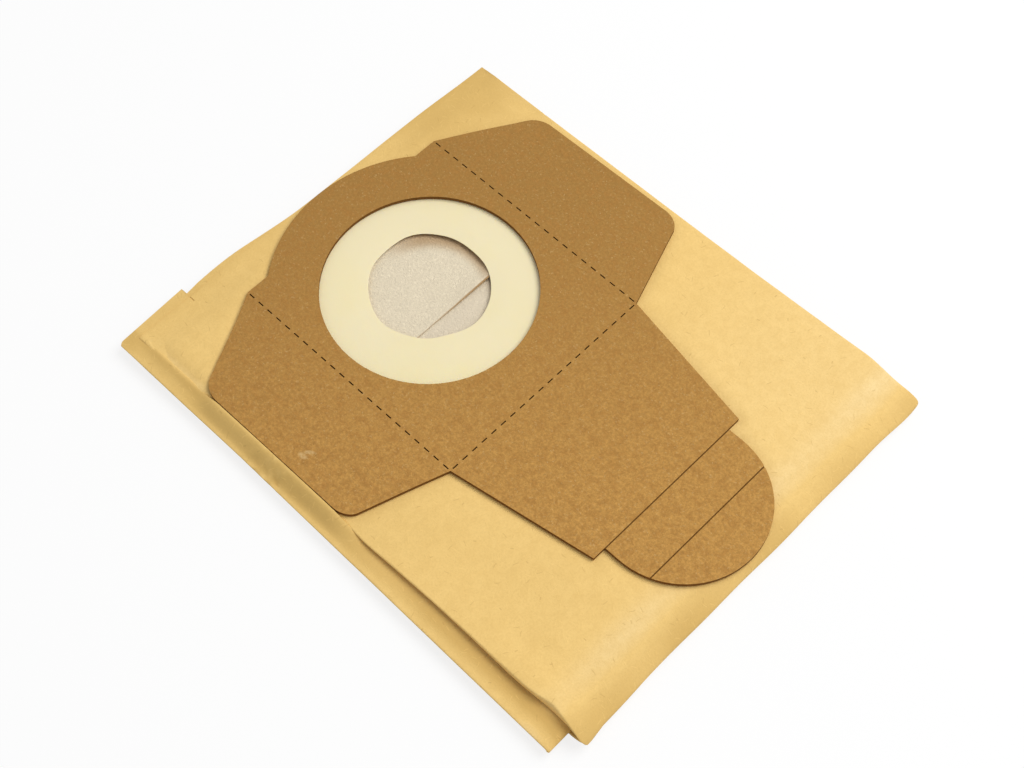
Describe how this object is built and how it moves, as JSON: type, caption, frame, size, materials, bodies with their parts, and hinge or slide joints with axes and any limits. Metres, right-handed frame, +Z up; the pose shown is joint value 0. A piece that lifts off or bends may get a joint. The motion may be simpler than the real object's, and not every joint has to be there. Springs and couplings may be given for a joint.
{
  "type": "vacuum dust bag",
  "caption": "Paper vacuum dust bag folded flat, with side gussets, a perforated card collar with wings and a round tab, and a soft membrane round the inlet.",
  "frame": {"origin": "centre of the folded bag's footprint, on the surface it lies on", "axes": "+Z up out of the inlet, +X along the bag from its glued end to its fold and the collar's round tab, +Y across it towards the side without the showing strip"},
  "size_m": [0.2348, 0.1958, 0.0099],
  "materials": {
    "kraft_paper": "matt yellow-brown kraft paper with short loose fibres",
    "tissue": "soft grey-beige filter tissue",
    "latex": "smooth cream latex sheet, satin",
    "card": "matt brown pulp board with fine speckle"
  },
  "bodies": {
    "root": {"paper_bag": "kraft_paper", "tissue_liner": "tissue", "sealing_membrane": "latex", "collar_board": "card"}
  },
  "joints": []
}
